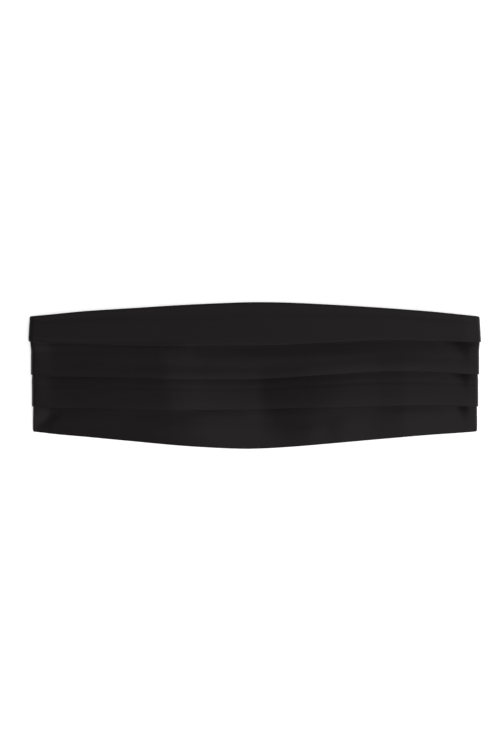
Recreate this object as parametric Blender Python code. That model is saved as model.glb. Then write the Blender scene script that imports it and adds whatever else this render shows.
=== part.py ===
"""Black satin cummerbund, laid flat with its back band fastened.

One pleated panel makes the whole front. Both of its ends are folded behind it, and a two-part back band
joins them with a hook and an eye. The front faces +Z, its top edge lies towards +Y, and the folded ends
rest on the plane Z = 0. Units are metres.
"""

import math
from collections import namedtuple

import bmesh
import bpy
from mathutils import Vector

MM = 0.001

# The pleated panel
PANEL_LENGTH = 660 * MM  # seam to seam, along the middle
LAID_WIDTH = 390.2 * MM  # across the two folded ends, as it lies
WALL = 1.0 * MM  # satin and its interfacing
PLY_GAP = 0.3 * MM  # between the plies of a pleat
PLEAT_DEPTH = 18 * MM  # how far a pleat reaches up under its tier
PLEAT_SHARE = 0.6  # the most of its tier that a pleat takes up
HEM = 6 * MM  # turned under along the top and the bottom edge
HEM_SHARE = 0.25  # the most of its tier that a hem takes up
EASE = 0.8 * MM  # from a pleat's crease to where the cloth next to it changes level

# The soft folds at the two ends
FOLD_GAP = 1.4 * MM  # hollow inside the fold
PUFF_REACH = 32 * MM  # over which the front settles from the fold on to the ends behind it
END_LEAN = 0.041  # the fold draws in towards the bottom edge, per length down from the first pleat
LEAN_REACH = 30 * MM  # over which that lean fades out again
CORNER = 3.5 * MM  # how far in from the top or bottom edge a corner starts to round
CORNER_INSET = 2.2 * MM
CORNER_REACH = 4 * MM  # how far along the panel that rounding fades out

# The back band and its fastening
SEAM_GAP = 0.3 * MM
BAND_WALL = 1.0 * MM
BAND_WIDTH = 32 * MM
BAND_CENTRE_Y = 1.0 * MM
BAND_DROP = 9 * MM  # over which the band comes down from the seam to the surface
BAND_RETURN = 16 * MM  # of band sewn back on itself
WIRE = 1.0 * MM  # thickness of the hook's and the eye's frames
FRAME_WIDTH = 35 * MM  # between the centres of their side wires
FRAME_CORNER = 2.0 * MM
EYE_BAND_BAR_X = -20.0 * MM
EYE_HOOK_BAR_X = -10.5 * MM
HOOK_ROOT_BAR_X = 4.5 * MM
HOOK_BAND_BAR_X = 13.5 * MM
TONGUE_WALL = 0.8 * MM
TONGUE_WIDTH = 14 * MM
TONGUE_TIP_X = -5.0 * MM

# Worked out from the sizes above
PLY = WALL + PLY_GAP
LEVELS = tuple(WALL / 2 + n * PLY for n in range(3))  # middle of each ply, up from the inner face
STACK = 3 * WALL + 2 * PLY_GAP  # a pleat is three plies thick
REST = STACK + SEAM_GAP  # the front's inner face, lying on the ends behind it
FOLD_RADIUS = FOLD_GAP / 2
FOLD_START = LAID_WIDTH / 2 - STACK - FOLD_RADIUS
TURN = math.pi * FOLD_RADIUS
WING = PANEL_LENGTH / 2 - FOLD_START - TURN
WING_END_X = FOLD_START - WING
BAR_Z = BAND_WALL + SEAM_GAP + WIRE / 2

# Across the panel at points along it: both edges and the three pleat folds, up from the middle.
Row = namedtuple("Row", "along top fold_1 fold_2 fold_3 bottom")
ROWS = [
    Row(*(value * MM for value in row))
    for row in (
        (-330.0, 41.0, 29.0, 1.0, -27.0, -38.0),
        (-262.0, 46.2, 29.2, 0.9, -26.9, -43.5),
        (-192.0, 51.6, 29.4, 0.5, -26.9, -48.6),
        (-147.4, 55.7, 27.3, -1.3, -28.3, -53.1),
        (-105.9, 58.4, 25.5, -2.2, -29.4, -57.0),
        (-64.4, 61.0, 25.2, -3.3, -29.9, -60.8),
        (-22.9, 62.9, 25.7, -3.5, -29.9, -63.2),
        (0.0, 63.5, 25.9, -3.2, -29.6, -63.5),
        (29.0, 63.1, 26.6, -1.7, -28.4, -62.0),
        (70.5, 61.1, 28.7, 1.1, -27.7, -58.5),
        (112.0, 58.5, 30.4, 3.4, -26.5, -54.8),
        (153.4, 55.3, 29.8, 2.9, -25.9, -51.3),
        (192.0, 51.6, 29.0, 0.9, -26.9, -48.5),
        (262.0, 46.2, 29.0, 0.9, -27.0, -43.5),
        (330.0, 41.0, 29.0, 1.0, -27.0, -38.0),
    )
]

# Spacing of the cross sections, from the middle outwards
FRONT_STEPS = 10
FRONT_STEP = 16 * MM
PUFF_STEPS = 5
TURN_STEPS = 6
WING_STOPS = [distance * MM for distance in (8, 18, 30, 52, 76, 100, 120)]

# A half turn of cloth is drawn with these angles
CREASE_ANGLES = [math.radians(angle) for angle in (90, 30, -30, -90)]
LOOP_ANGLES = [math.radians(angle) for angle in range(90, -91, -20)]

SHARP_ANGLE = math.radians(40)  # edges sharper than this are drawn as creases


def clear_scene():
    for obj in list(bpy.data.objects):
        bpy.data.objects.remove(obj, do_unlink=True)


def make_collection(name):
    collection = bpy.data.collections.new(name)
    bpy.context.scene.collection.children.link(collection)
    return collection


def make_material(name, colour, roughness, metallic=0.0):
    material = bpy.data.materials.new(name)
    material.use_nodes = True
    shader = material.node_tree.nodes["Principled BSDF"]
    shader.inputs["Base Color"].default_value = (*colour, 1.0)
    shader.inputs["Roughness"].default_value = roughness
    shader.inputs["Metallic"].default_value = metallic
    material.diffuse_color = (*colour, 1.0)
    return material


def add_object(name, data, material, collection):
    obj = bpy.data.objects.new(name, data)
    collection.objects.link(obj)
    data.materials.append(material)
    return obj


def smooth_step(share):
    share = min(max(share, 0.0), 1.0)
    return share * share * (3 - 2 * share)


def row_at(along):
    """The panel's edges and folds at a distance along it, on one smooth curve through ROWS."""
    last = len(ROWS) - 2
    left = max((i for i in range(last + 1) if ROWS[i].along <= along), default=0)
    before, start, end, after = (ROWS[min(max(left + i, 0), last + 1)] for i in (-1, 0, 1, 2))
    span = end.along - start.along
    share = (along - start.along) / span
    values = [along]
    for field in Row._fields[1:]:
        a, b, c, d = (getattr(row, field) for row in (before, start, end, after))
        slope_in = (c - a) / (end.along - before.along) * span
        slope_out = (d - b) / (after.along - start.along) * span
        values.append(
            (2 * share**3 - 3 * share**2 + 1) * b
            + (share**3 - 2 * share**2 + share) * slope_in
            + (3 * share**2 - 2 * share**3) * c
            + (share**3 - share**2) * slope_out
        )
    return Row(*values)


def half_turn(nose, level_in, level_out, towards, wall, angles):
    """Cloth turning back on itself: its middle line, with the outer face of the bend at nose."""
    middle, radius = (level_in + level_out) / 2, (level_in - level_out) / 2
    centre = nose - towards * (abs(radius) + wall / 2)
    return [
        (centre + towards * abs(radius) * math.cos(angle), middle + radius * math.sin(angle))
        for angle in angles
    ]


def crease(nose, level_in, level_out, towards):
    return half_turn(nose, level_in, level_out, towards, WALL, CREASE_ANGLES)


def pleat_line(row):
    """The cloth's middle line across the panel, from one hem's raw edge to the other, as (y, height)."""
    low, middle, high = LEVELS
    top_hem = min(HEM, HEM_SHARE * (row.top - row.fold_1))
    bottom_hem = min(HEM, HEM_SHARE * (row.fold_3 - row.bottom))
    line = [(row.top - top_hem, low), *crease(row.top, low, middle, 1), (row.top - top_hem, middle)]
    above = row.top
    for fold in (row.fold_1, row.fold_2, row.fold_3):
        inner = fold + min(PLEAT_DEPTH, PLEAT_SHARE * (above - fold))
        line.append((inner + EASE, high))
        line += crease(fold, high, middle, -1)
        line += crease(inner, middle, low, 1)
        line.append((fold - EASE, low))
        above = fold
    line.append((row.bottom + bottom_hem, middle))
    line += crease(row.bottom, middle, low, -1)
    line.append((row.bottom + bottom_hem, low))
    return line


def outline_of(line, wall):
    """The closed outline of a strip of this thickness about a middle line."""
    points = [Vector(point) for point in line]
    headings = [(b - a).normalized() for a, b in zip(points, points[1:])]
    one_side, other_side = [], []
    for i, point in enumerate(points):
        before, after = headings[max(i - 1, 0)], headings[min(i, len(headings) - 1)]
        across = Vector((-before.y - after.y, before.x + after.x)).normalized()
        reach = wall / 2 / max(across.dot(Vector((-after.y, after.x))), 0.5)
        one_side.append(point + across * reach)
        other_side.append(point - across * reach)
    return one_side + other_side[::-1]


def front_height(out):
    """The height of the front's inner face: it settles from the end folds on to the ends behind it."""
    rise = STACK + FOLD_GAP - REST
    return REST + rise * smooth_step(1 - (FOLD_START - out) / PUFF_REACH)


def inner_face(out):
    """Where the inner face is at a distance along the panel, and which way is out: x, z and a direction."""
    if out < FOLD_START:
        probe = 0.1 * MM
        slope = (front_height(out + probe) - front_height(out - probe)) / (2 * probe)
        return out, front_height(out), Vector((-slope, 1.0)).normalized()
    angle = min((out - FOLD_START) / FOLD_RADIUS, math.pi)
    direction = Vector((math.sin(angle), math.cos(angle)))
    beyond = max(out - FOLD_START - TURN, 0.0)
    x = FOLD_START + FOLD_RADIUS * direction.x - beyond
    z = STACK + FOLD_RADIUS + FOLD_RADIUS * direction.y
    if angle == math.pi:
        direction = Vector((0.0, -1.0))
    return x, z, direction


def end_inset(row, y, out):
    """How far a point near the end folds is drawn in, so that the ends lean and their corners are round."""
    distance = max(FOLD_START - out, out - FOLD_START - TURN, 0.0)
    lean = END_LEAN * max(row.fold_1 - y, 0.0) * smooth_step(1 - distance / LEAN_REACH)
    from_edge = max(min(row.top - y, y - row.bottom), 0.0)
    corner = CORNER_INSET * max(1 - from_edge / CORNER, 0.0) ** 2
    return lean + corner * smooth_step(1 - distance / CORNER_REACH)


def place(along, row, y, height):
    """The point of the panel this far along, at this y and this height above its inner face."""
    out = abs(along)
    x, z, direction = inner_face(out)
    x += direction.x * height - end_inset(row, y, out)
    return Vector((math.copysign(x, along), y, z + direction.y * height))


def stations():
    """Distances along the panel, one for each cross section, closer together where it bends."""
    half = [i * FRONT_STEP for i in range(1, FRONT_STEPS)]
    half += [FOLD_START - PUFF_REACH * i / PUFF_STEPS for i in range(PUFF_STEPS, -1, -1)]
    half += [FOLD_START + TURN * i / TURN_STEPS for i in range(1, TURN_STEPS + 1)]
    half += [FOLD_START + TURN + stop for stop in WING_STOPS]
    half.append(PANEL_LENGTH / 2)
    return [-out for out in reversed(half)] + [0.0] + half


def make_panel(collection):
    mesh = bpy.data.meshes.new("pleated_panel")
    cloth = bmesh.new()
    rings = []
    for along in stations():
        row = row_at(along)
        outline = outline_of(pleat_line(row), WALL)
        rings.append([cloth.verts.new(place(along, row, y, height)) for y, height in outline])
    for ring, following in zip(rings, rings[1:]):
        for i in range(len(ring)):
            cloth.faces.new((ring[i - 1], ring[i], following[i], following[i - 1]))
    cloth.faces.new(rings[0])
    cloth.faces.new(reversed(rings[-1]))
    bmesh.ops.recalc_face_normals(cloth, faces=cloth.faces)
    cloth.to_mesh(mesh)
    cloth.free()
    mesh.shade_smooth()
    mesh.set_sharp_from_angle(angle=SHARP_ANGLE)
    satin = make_material("black_satin", (0.013, 0.012, 0.013), 0.38)
    return add_object("pleated_panel", mesh, satin, collection)


def strip_curve(name, line, wall, width):
    """A strip of this width, seen from the side as a line of this thickness in X and Z."""
    curve = bpy.data.curves.new(name, "CURVE")
    curve.dimensions = "2D"
    curve.fill_mode = "BOTH"
    curve.extrude = width / 2
    outline = outline_of(line, wall)
    spline = curve.splines.new("POLY")
    spline.points.add(len(outline) - 1)
    for point, (x, z) in zip(spline.points, outline):
        point.co = (x, z, 0.0, 1.0)
    spline.use_cyclic_u = True
    return curve


def stand_up(obj):
    """Turns a flat outline so that its y becomes height, and centres it on the band."""
    obj.rotation_euler = (math.pi / 2, 0.0, 0.0)
    obj.location.y = BAND_CENTRE_Y


def make_band(name, seam_x, bar_x, material, collection):
    """Half of the back band, from the panel's end round the bar of its fitting and back on itself."""
    inwards = math.copysign(1, bar_x - seam_x)
    low = BAND_WALL / 2
    at_seam, high = LEVELS[1], 2 * BAR_Z - low
    start = seam_x + inwards * SEAM_GAP
    radius = high - BAR_Z
    line = [(start, at_seam), (start + inwards * BAND_DROP / 3, at_seam)]
    line.append((start + inwards * BAND_DROP, low))
    nose = bar_x + inwards * (radius + BAND_WALL / 2)
    line += half_turn(nose, low, high, inwards, BAND_WALL, LOOP_ANGLES)
    resting = low + BAND_WALL + SEAM_GAP
    line.append((bar_x - inwards * BAND_RETURN / 4, resting + BAND_WALL / 2))
    line.append((bar_x - inwards * BAND_RETURN / 2, resting))
    line.append((bar_x - inwards * BAND_RETURN, resting))
    obj = add_object(name, strip_curve(name, line, BAND_WALL, BAND_WIDTH), material, collection)
    stand_up(obj)
    return obj


def wire_frame(name, x_low, x_high):
    """A rounded rectangle of wire, lying flat between these two bars."""
    curve = bpy.data.curves.new(name, "CURVE")
    curve.dimensions = "3D"
    curve.bevel_depth = WIRE / 2
    curve.bevel_resolution = 2
    points = []
    for quarter, (x_side, y_side) in enumerate(((1, 1), (-1, 1), (-1, -1), (1, -1))):
        corner_x = (x_high if x_side > 0 else x_low) - x_side * FRAME_CORNER
        corner_y = BAND_CENTRE_Y + y_side * (FRAME_WIDTH / 2 - FRAME_CORNER)
        for step in range(4):
            angle = math.radians(90 * quarter + 30 * step)
            points.append(
                (corner_x + FRAME_CORNER * math.cos(angle), corner_y + FRAME_CORNER * math.sin(angle))
            )
    spline = curve.splines.new("POLY")
    spline.points.add(len(points) - 1)
    for point, (x, y) in zip(spline.points, points):
        point.co = (x, y, BAR_Z, 1.0)
    spline.use_cyclic_u = True
    return curve


def as_mesh(obj):
    """Replaces a curve object with a mesh object of the same shape, with its caps welded on."""
    graph = bpy.context.evaluated_depsgraph_get()
    mesh = bpy.data.meshes.new_from_object(obj.evaluated_get(graph))
    shape = bmesh.new()
    shape.from_mesh(mesh)
    bmesh.ops.remove_doubles(shape, verts=shape.verts, dist=0.001 * MM)
    shape.to_mesh(mesh)
    shape.free()
    made = bpy.data.objects.new(obj.name + "_mesh", mesh)
    made.matrix_world = obj.matrix_world
    for collection in obj.users_collection:
        collection.objects.link(made)
    name = obj.name
    bpy.data.objects.remove(obj, do_unlink=True)
    made.name = name
    return made


def make_eye(metal, collection):
    return add_object("band_eye", wire_frame("band_eye", EYE_BAND_BAR_X, EYE_HOOK_BAR_X), metal, collection)


def make_hook(metal, collection, cutters):
    """A wire frame for the band, with a flat tongue that goes over the eye's bar and back under it."""
    frame = wire_frame("band_hook", HOOK_ROOT_BAR_X, HOOK_BAND_BAR_X)
    hook = add_object("band_hook", frame, metal, collection)
    clear = WIRE / 2 + SEAM_GAP + TONGUE_WALL / 2
    over, under = BAR_Z + clear, BAR_Z - clear
    nose = EYE_HOOK_BAR_X - clear - TONGUE_WALL / 2
    line = [(HOOK_ROOT_BAR_X + WIRE / 4, BAR_Z), (HOOK_ROOT_BAR_X - WIRE, BAR_Z)]
    line.append((HOOK_ROOT_BAR_X - 4 * WIRE, over))
    line += half_turn(nose, over, under, -1, TONGUE_WALL, LOOP_ANGLES)
    line.append((TONGUE_TIP_X, under))
    tongue_curve = strip_curve("hook_tongue", line, TONGUE_WALL, TONGUE_WIDTH)
    tongue = add_object("hook_tongue", tongue_curve, metal, cutters)
    stand_up(tongue)
    bpy.context.view_layer.update()
    hook, tongue = as_mesh(hook), as_mesh(tongue)
    tongue.hide_render = True
    tongue.display_type = "WIRE"
    join = hook.modifiers.new("tongue", "BOOLEAN")
    join.operation = "UNION"
    join.solver = "EXACT"
    join.object = tongue
    return hook


def main():
    clear_scene()
    collection = make_collection("cummerbund")
    cutters = make_collection("joined_shapes")
    make_panel(collection)
    webbing = make_material("black_woven_band", (0.011, 0.011, 0.012), 0.75)
    make_band("back_band_left", -WING_END_X, EYE_BAND_BAR_X, webbing, collection)
    make_band("back_band_right", WING_END_X, HOOK_BAND_BAR_X, webbing, collection)
    metal = make_material("blackened_steel_wire", (0.05, 0.05, 0.052), 0.35, metallic=1.0)
    make_eye(metal, collection)
    make_hook(metal, collection, cutters)


if __name__ == "__main__":
    main()
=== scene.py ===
"""Black satin cummerbund laid flat, with its back band fastened, on white paper in soft studio light.

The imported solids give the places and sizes. The pleated panel and the band are laid again in cloth of real
thickness, with soft folds, stitches and a fastening of fine wire. Units are metres.
"""

import math
from collections import namedtuple

import bmesh
import bpy
import numpy as np
from bpy.props import FloatProperty, FloatVectorProperty, PointerProperty
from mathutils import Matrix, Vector


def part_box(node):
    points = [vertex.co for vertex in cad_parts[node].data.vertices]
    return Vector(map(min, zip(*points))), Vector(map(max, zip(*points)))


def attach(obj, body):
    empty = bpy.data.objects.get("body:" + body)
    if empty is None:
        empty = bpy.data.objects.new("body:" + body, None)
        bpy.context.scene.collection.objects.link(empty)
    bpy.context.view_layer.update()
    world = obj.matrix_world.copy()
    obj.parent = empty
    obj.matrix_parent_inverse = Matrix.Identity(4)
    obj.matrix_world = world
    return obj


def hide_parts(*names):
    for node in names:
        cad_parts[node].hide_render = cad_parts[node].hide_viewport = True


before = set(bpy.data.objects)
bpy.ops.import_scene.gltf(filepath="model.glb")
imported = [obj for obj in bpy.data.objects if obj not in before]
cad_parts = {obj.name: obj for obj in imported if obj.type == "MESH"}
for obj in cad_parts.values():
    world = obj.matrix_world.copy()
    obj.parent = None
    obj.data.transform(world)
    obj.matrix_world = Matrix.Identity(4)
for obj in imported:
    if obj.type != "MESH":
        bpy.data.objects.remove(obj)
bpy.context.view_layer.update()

bl_info = {
    "name": "Satin cummerbund",
    "version": (1, 0, 0),
    "blender": (4, 5, 0),
    "location": "View3D > Sidebar > Cummerbund",
    "description": "Builds a pleated satin cummerbund, laid flat, round its packed solids",
    "category": "Object",
}

MM = 0.001
WHITE = (1.0, 1.0, 1.0, 1.0)
BODY = "root"

# ---- Sizes of the solids, from the frame ---------------------------------------------------------

HALF_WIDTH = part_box("pleated_panel")[1].x  # to the outer face of an end fold
BAND_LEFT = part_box("back_band_left")
BAND_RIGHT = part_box("back_band_right")
EYE_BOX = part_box("band_eye")
HOOK_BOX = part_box("band_hook")
SEAM_GAP = 0.3 * MM
WING_END_X = BAND_RIGHT[1].x + SEAM_GAP  # where a folded end stops behind the front

# ---- The pleated panel ---------------------------------------------------------------------------

FRONT_TOP = 8.0 * MM  # outer face of the front, between the end folds
PLEAT_DEPTH = 20 * MM  # how far a pleat reaches up under its tier
PLEAT_SHARES = (0.6, 0.5, 0.67)  # the most of each tier that its pleat takes up
HEM = 6 * MM
HEM_SHARE = 0.25  # the most of its tier that a hem takes up
EASE = 0.8 * MM  # from a pleat's crease to where the cloth next to it changes level
END_SPRING = 0.9 * MM  # how far a fold of real cloth springs past the solid's
TURN_REACH = 1.2 * MM  # over which the front rolls into the end fold
TUCK_REACH = 3 * MM  # over which the fold rolls on to the surface below
TIER_INSETS = (1.7 * MM, 0.85 * MM, 0.3 * MM)  # how much further in each tier's end is than the one above
LEAN_REACH = 30 * MM  # how far in from an end its lean is felt
TOP_LEAN = 0.056  # how the first tier's end leans out from the top edge down to the first pleat
CORNER = 1.4 * MM  # how far in from the top and the bottom edge the rounding of a corner begins
CORNER_INSET = 0.8 * MM
CORNER_REACH = 3 * MM
EDGE_ROLL = 20 * MM  # over which the bottom edge rolls down
TURN_LENGTH = 2.4 * MM  # how much of the length of ROWS an end fold takes up
FRONT_FADE = 1.2  # quarter turns into an end fold at which the front's creases have died out
RISE_EASE = 1.7  # a tier comes up quickly from under the pleat above, then levels out
RISE_ZONE = 11 * MM  # over which the end of a tier draws in, as its cloth comes up
LAST_EASE = 2.0  # the last tier, with no pleat below it, levels out sooner
CROWN_EASE = 1.5  # a tier stands up slowly towards its fold, then rolls over quickly
PRESSED_TIER = 2  # the one in which the edge of the pleat below has been pressed through, counted from 0
PRESS_SHARE = 0.03  # of the rest of that tier, over which the pressed line comes up

# Across the panel at points along it, in mm: both edges and the three pleat folds, up from the middle.
Row = namedtuple("Row", "along top fold_1 fold_2 fold_3 bottom")
ROWS = [
    Row(-330.0, 41.0, 29.0, 1.0, -27.0, -38.0),
    Row(-262.0, 46.2, 29.2, 0.9, -26.9, -43.5),
    Row(-192.0, 51.6, 29.4, 0.5, -26.9, -49.0),
    Row(-175.0, 53.1, 28.0, -1.0, -28.4, -50.7),
    Row(-147.4, 55.7, 27.3, -1.3, -28.3, -53.1),
    Row(-105.9, 58.4, 25.5, -2.2, -29.4, -57.0),
    Row(-64.4, 61.0, 25.2, -3.3, -29.9, -60.8),
    Row(-22.9, 62.9, 25.7, -3.5, -29.9, -63.2),
    Row(0.0, 63.5, 25.9, -3.2, -29.6, -63.5),
    Row(29.0, 63.1, 26.6, -1.7, -28.4, -62.0),
    Row(70.5, 61.1, 28.7, 1.1, -27.7, -58.5),
    Row(112.0, 58.5, 30.4, 3.4, -26.5, -54.8),
    Row(153.4, 55.3, 29.8, 2.9, -25.9, -51.3),
    Row(192.0, 51.6, 29.0, 0.9, -26.9, -48.8),
    Row(262.0, 46.2, 29.0, 0.9, -27.0, -43.5),
    Row(330.0, 41.0, 29.0, 1.0, -27.0, -38.0),
]

# Soft creases in mm. Each runs from its head to its foot, slopes away on both sides and fades past its ends.
SoftFold = namedtuple("SoftFold", "height head_x head_y foot_x foot_y left_reach right_reach softness fade")
FRONT_FOLDS = [
    SoftFold(0.75, -81.0, 22.0, -72.0, -28.0, 90.0, 26.0, 2.0, 7.0),  # ridge left of the middle
    SoftFold(-0.4, -14.0, 20.0, -8.0, -64.0, 42.0, 62.0, 8.0, 10.0),  # hollow in the middle
    SoftFold(-0.6, 4.0, 6.0, 7.0, -64.0, 76.0, 60.0, 3.0, 10.0),  # deeper in the lower tiers
    SoftFold(-0.4, 4.0, 4.0, 6.0, -27.0, 70.0, 60.0, 2.0, 7.0),  # and deepest in the third
    SoftFold(0.7, -52.0, -4.0, -50.0, -44.0, 110.0, 56.0, 4.0, 14.0),  # broad ridge left of it
    SoftFold(0.9, 50.0, 13.0, 60.0, -28.0, 80.0, 110.0, 14.0, 17.0),  # broader ridge right of it
    SoftFold(0.8, -48.0, -36.0, -36.0, -64.0, 60.0, 44.0, 10.0, 8.0),  # ridge in the fourth tier
    SoftFold(0.4, 47.0, -48.0, 50.0, -64.0, 20.0, 14.0, 3.0, 8.0),  # ripples in the bottom edge
    SoftFold(0.3, 77.0, -40.0, 75.0, -62.0, 12.0, 18.0, 3.0, 7.0),
    SoftFold(0.45, 129.0, 10.0, 130.0, -56.0, 22.0, 46.0, 2.0, 14.0),  # ridge before the right end
    SoftFold(0.5, 129.0, -32.0, 131.0, -56.0, 30.0, 46.0, 1.5, 6.0),  # steeper in the fourth tier
    SoftFold(-0.7, -180.0, -35.0, -189.5, -43.5, 12.0, 11.0, 1.5, 5.0),  # bottom left corner
    SoftFold(1.0, -199.0, 60.0, -199.0, 33.0, 10.0, 115.0, 2.0, 6.0),  # first tier lifts to its left end
    SoftFold(-1.0, -196.0, 20.0, -196.0, -56.0, 10.0, 115.0, 4.0, 6.0),  # the others sink to theirs
    SoftFold(-0.8, 195.0, 60.0, 195.0, 29.0, 12.0, 10.0, 1.0, 4.0),  # the right end falls away
    SoftFold(-0.5, 196.0, 25.0, 196.0, -56.0, 8.0, 10.0, 1.0, 3.0),
]
# The folded ends, which lie face down, only lift off what they rest on.
WING_FOLDS = [
    SoftFold(0.7, -120.0, 40.0, -104.0, -30.0, 30.0, 18.0, 4.0, 14.0),
    SoftFold(0.5, -78.0, 4.0, -86.0, -46.0, 14.0, 22.0, 4.0, 10.0),
    SoftFold(0.6, 98.0, 24.0, 112.0, -46.0, 18.0, 28.0, 4.0, 12.0),
    SoftFold(0.5, 150.0, 44.0, 142.0, 2.0, 16.0, 16.0, 4.0, 10.0),
]
SOFT_FOOT = 0.08  # how softly a crease's flank meets the cloth round it

# Where, in mm, the cloth under a pleat falls away from it: at the ends, where it goes round the fold, and
# in the middle. It comes up again to the left and the right over the reaches. A pocket fades down the panel,
# and its centre moves right by lean for each millimetre down. Folds are counted from 0 at the top.
Pocket = namedtuple("Pocket", "fold depth centre lean left_reach right_reach softness fade")
POCKETS = [
    Pocket(0, 0.9, -178.5, 0.1, 12.0, 60.0, 1.5, 10.0),
    Pocket(1, 0.9, -178.5, 0.1, 12.0, 60.0, 1.5, 9.0),
    Pocket(2, 0.9, -179.5, 0.0, 12.0, 60.0, 1.5, 8.0),
    Pocket(0, 0.35, -20.0, 0.0, 110.0, 60.0, 8.0, 50.0),
    Pocket(1, 0.9, 5.5, 0.0, 62.0, 70.0, 2.0, 70.0),
    Pocket(2, 0.2, -66.0, 0.0, 96.0, 36.0, 8.0, 40.0),
    Pocket(2, 0.9, 14.0, 0.2, 20.0, 32.0, 3.0, 13.0),
    Pocket(0, 1.7, 172.0, 0.75, 12.0, 13.0, 1.5, 13.0),
    Pocket(1, 1.5, 177.0, 0.6, 12.0, 11.0, 1.5, 9.0),
    Pocket(2, 1.2, 176.0, 0.5, 12.0, 10.0, 1.5, 12.0),
]
POCKET_SHARE_BEHIND = 0.4  # how much of a pocket is left where the cloth has gone behind

# How finely the shapes are drawn
FRONT_STEP = 2.5 * MM
END_STEP = 1.6 * MM
END_ZONE = 46 * MM
TURN_STEPS = 18
WING_STEP = 4.2 * MM
RISE_POINTS = 9
FLAT_POINTS = 10
HIDDEN_POINTS = 6
CREASE_POINTS = 7
TUCK_POINTS = 5
HEM_POINTS = 2
SAME_POINT = 1e-7
BEND_POINTS = 25  # of the band and the hook's tongue, round a bar
RAMP_POINTS = 12
BAND_POINTS = 27  # across the band
TONGUE_POINTS = 15  # across the hook's tongue
CORNER_POINTS = 9  # in a corner of bent wire
WIRE_ROUNDNESS = 4
STITCH_SEGMENTS = 8
STITCH_RINGS = 6
OFF_STITCH = (0.3, 0.5, 0.81)  # a direction that no stitch runs in
SHARP_EDGE = math.radians(70)

# ---- The back band and its fastening -------------------------------------------------------------

BAND_WIDTH = BAND_LEFT[1].y - BAND_LEFT[0].y
BAND_CENTRE_Y = (BAND_LEFT[1].y + BAND_LEFT[0].y) / 2
BAND_DROP = 9 * MM
BAND_RETURN = 16 * MM
BAND_STEP = 0.25 * MM
CORD_PLACE = 0.95  # of half the band's width, from its middle to the cord along its edge
CORD_REACH = 0.03
WIRE = 1.0 * MM
BAR_Z = EYE_BOX[0].z + WIRE / 2
EYE_BAND_BAR_X = EYE_BOX[0].x + WIRE / 2
EYE_HOOK_BAR_X = EYE_BOX[1].x - WIRE / 2
HOOK_BAND_BAR_X = HOOK_BOX[1].x - WIRE / 2
HOOK_ROOT_BAR_X = 4.5 * MM
FRAME_WIDTH = EYE_BOX[1].y - EYE_BOX[0].y - WIRE  # between the centres of the side wires
FRAME_CORNER = 2.0 * MM
TONGUE_WALL = 0.8 * MM
TONGUE_WIDTH = 14 * MM
TONGUE_TIP_X = -5.0 * MM
TONGUE_STEP = 0.35 * MM
TONGUE_TAPER = 0.18  # the share of its width that it loses on the way to its tip
TIP_LENGTH = 2.5 * MM  # over which the tip is rounded
TIP_ROUNDING = 0.28  # the share of its width that the rounding takes off
TIP_BLUNTNESS = 0.12  # how early the rounding stops
EDGE_THINNEST = 0.1  # the square of the share of its thickness that a strip keeps at its edges

# ---- The sewing ----------------------------------------------------------------------------------

HEM_BITE = 1.2 * MM  # from a hem's edge to where the needle takes up the cloth behind it
HEM_SLANT = 1.1 * MM
HEM_CLEAR = 6 * MM  # from the cut ends to the first and last hemming stitch
SEAM_ROWS = (3.4 * MM, 6.2 * MM)  # in from the cut end
SEAM_CLEAR = 1.5 * MM  # from the long edges to the first and last stitch of a seam
END_STATIONS = 3  # places along the cloth, from its cut end, whose faces these stitches follow
EDGING_PITCH = 1.6 * MM
EDGING_REACH = 2.2 * MM
EDGING_SLANT = 0.9 * MM
ZIGZAG_PITCH = 1.5 * MM
ZIGZAG_LEAN = 0.7 * MM
ZIGZAG_ON_PANEL = 1.2 * MM  # in from the cut end
ZIGZAG_ON_BAND = 2.4 * MM  # in from the band's end
ZIGZAG_Z = 0.3 * MM
BOX_NEAR = 8.6 * MM  # the crossed box of stitches, from the bar that the band goes round
BOX_FAR = 14.4 * MM
BOX_SHARE = 0.4  # of the band's width, from its middle to each side of the box
# Where the middle of a stitch lies, in thicknesses of the thread
SEAM_PROUD = 0.3  # above the panel
BOX_SUNK_ABOVE = 0.1  # under the band's upper face
BOX_SUNK_BELOW = 0.4  # above its lower face

# ---- The photograph's view -----------------------------------------------------------------------

IMAGE_HEIGHT_PX = 750
MM_PER_PX = 0.8645
VIEW_CENTRE = (-4.32 * MM, 0.43 * MM)  # the point of the front that lies in the middle of the picture
SENSOR_WIDTH = 36.0
KEY_DISC = math.radians(80)  # as wide as a soft box close by looks
KEY_TO_RIGHT = math.radians(36)
KEY_TO_FRONT = math.radians(17)  # towards the bottom edge
WALL_TOP = 0.25  # sines of the heights between which the studio darkens
CEILING_EDGE = 0.85
FLOOR_DROP = 0.1 * MM  # keeps the paper clear of the cloth that rests on it

# The colour sockets of a Mix node, which share their names with others
MIX_FACTOR = 0
MIX_A = 6
MIX_B = 7
MIX_RESULT = 2


def linear(hex_colour):
    """An sRGB colour such as 1f2a30, as linear red, green and blue."""
    channels = [int(hex_colour[i : i + 2], 16) / 255 for i in (0, 2, 4)]
    return [c / 12.92 if c <= 0.04045 else ((c + 0.055) / 1.055) ** 2.4 for c in channels]


def length_property(name, description, default):
    return FloatProperty(
        name=name, description=description, default=default, min=0.0, unit="LENGTH", precision=5
    )


def strength_property(name, description, default):
    return FloatProperty(name=name, description=description, default=default, min=0.0)


def colour_property(name, description, hex_colour):
    return FloatVectorProperty(
        name=name,
        description=description,
        default=linear(hex_colour),
        size=3,
        min=0,
        max=1,
        subtype="COLOR",
    )


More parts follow.
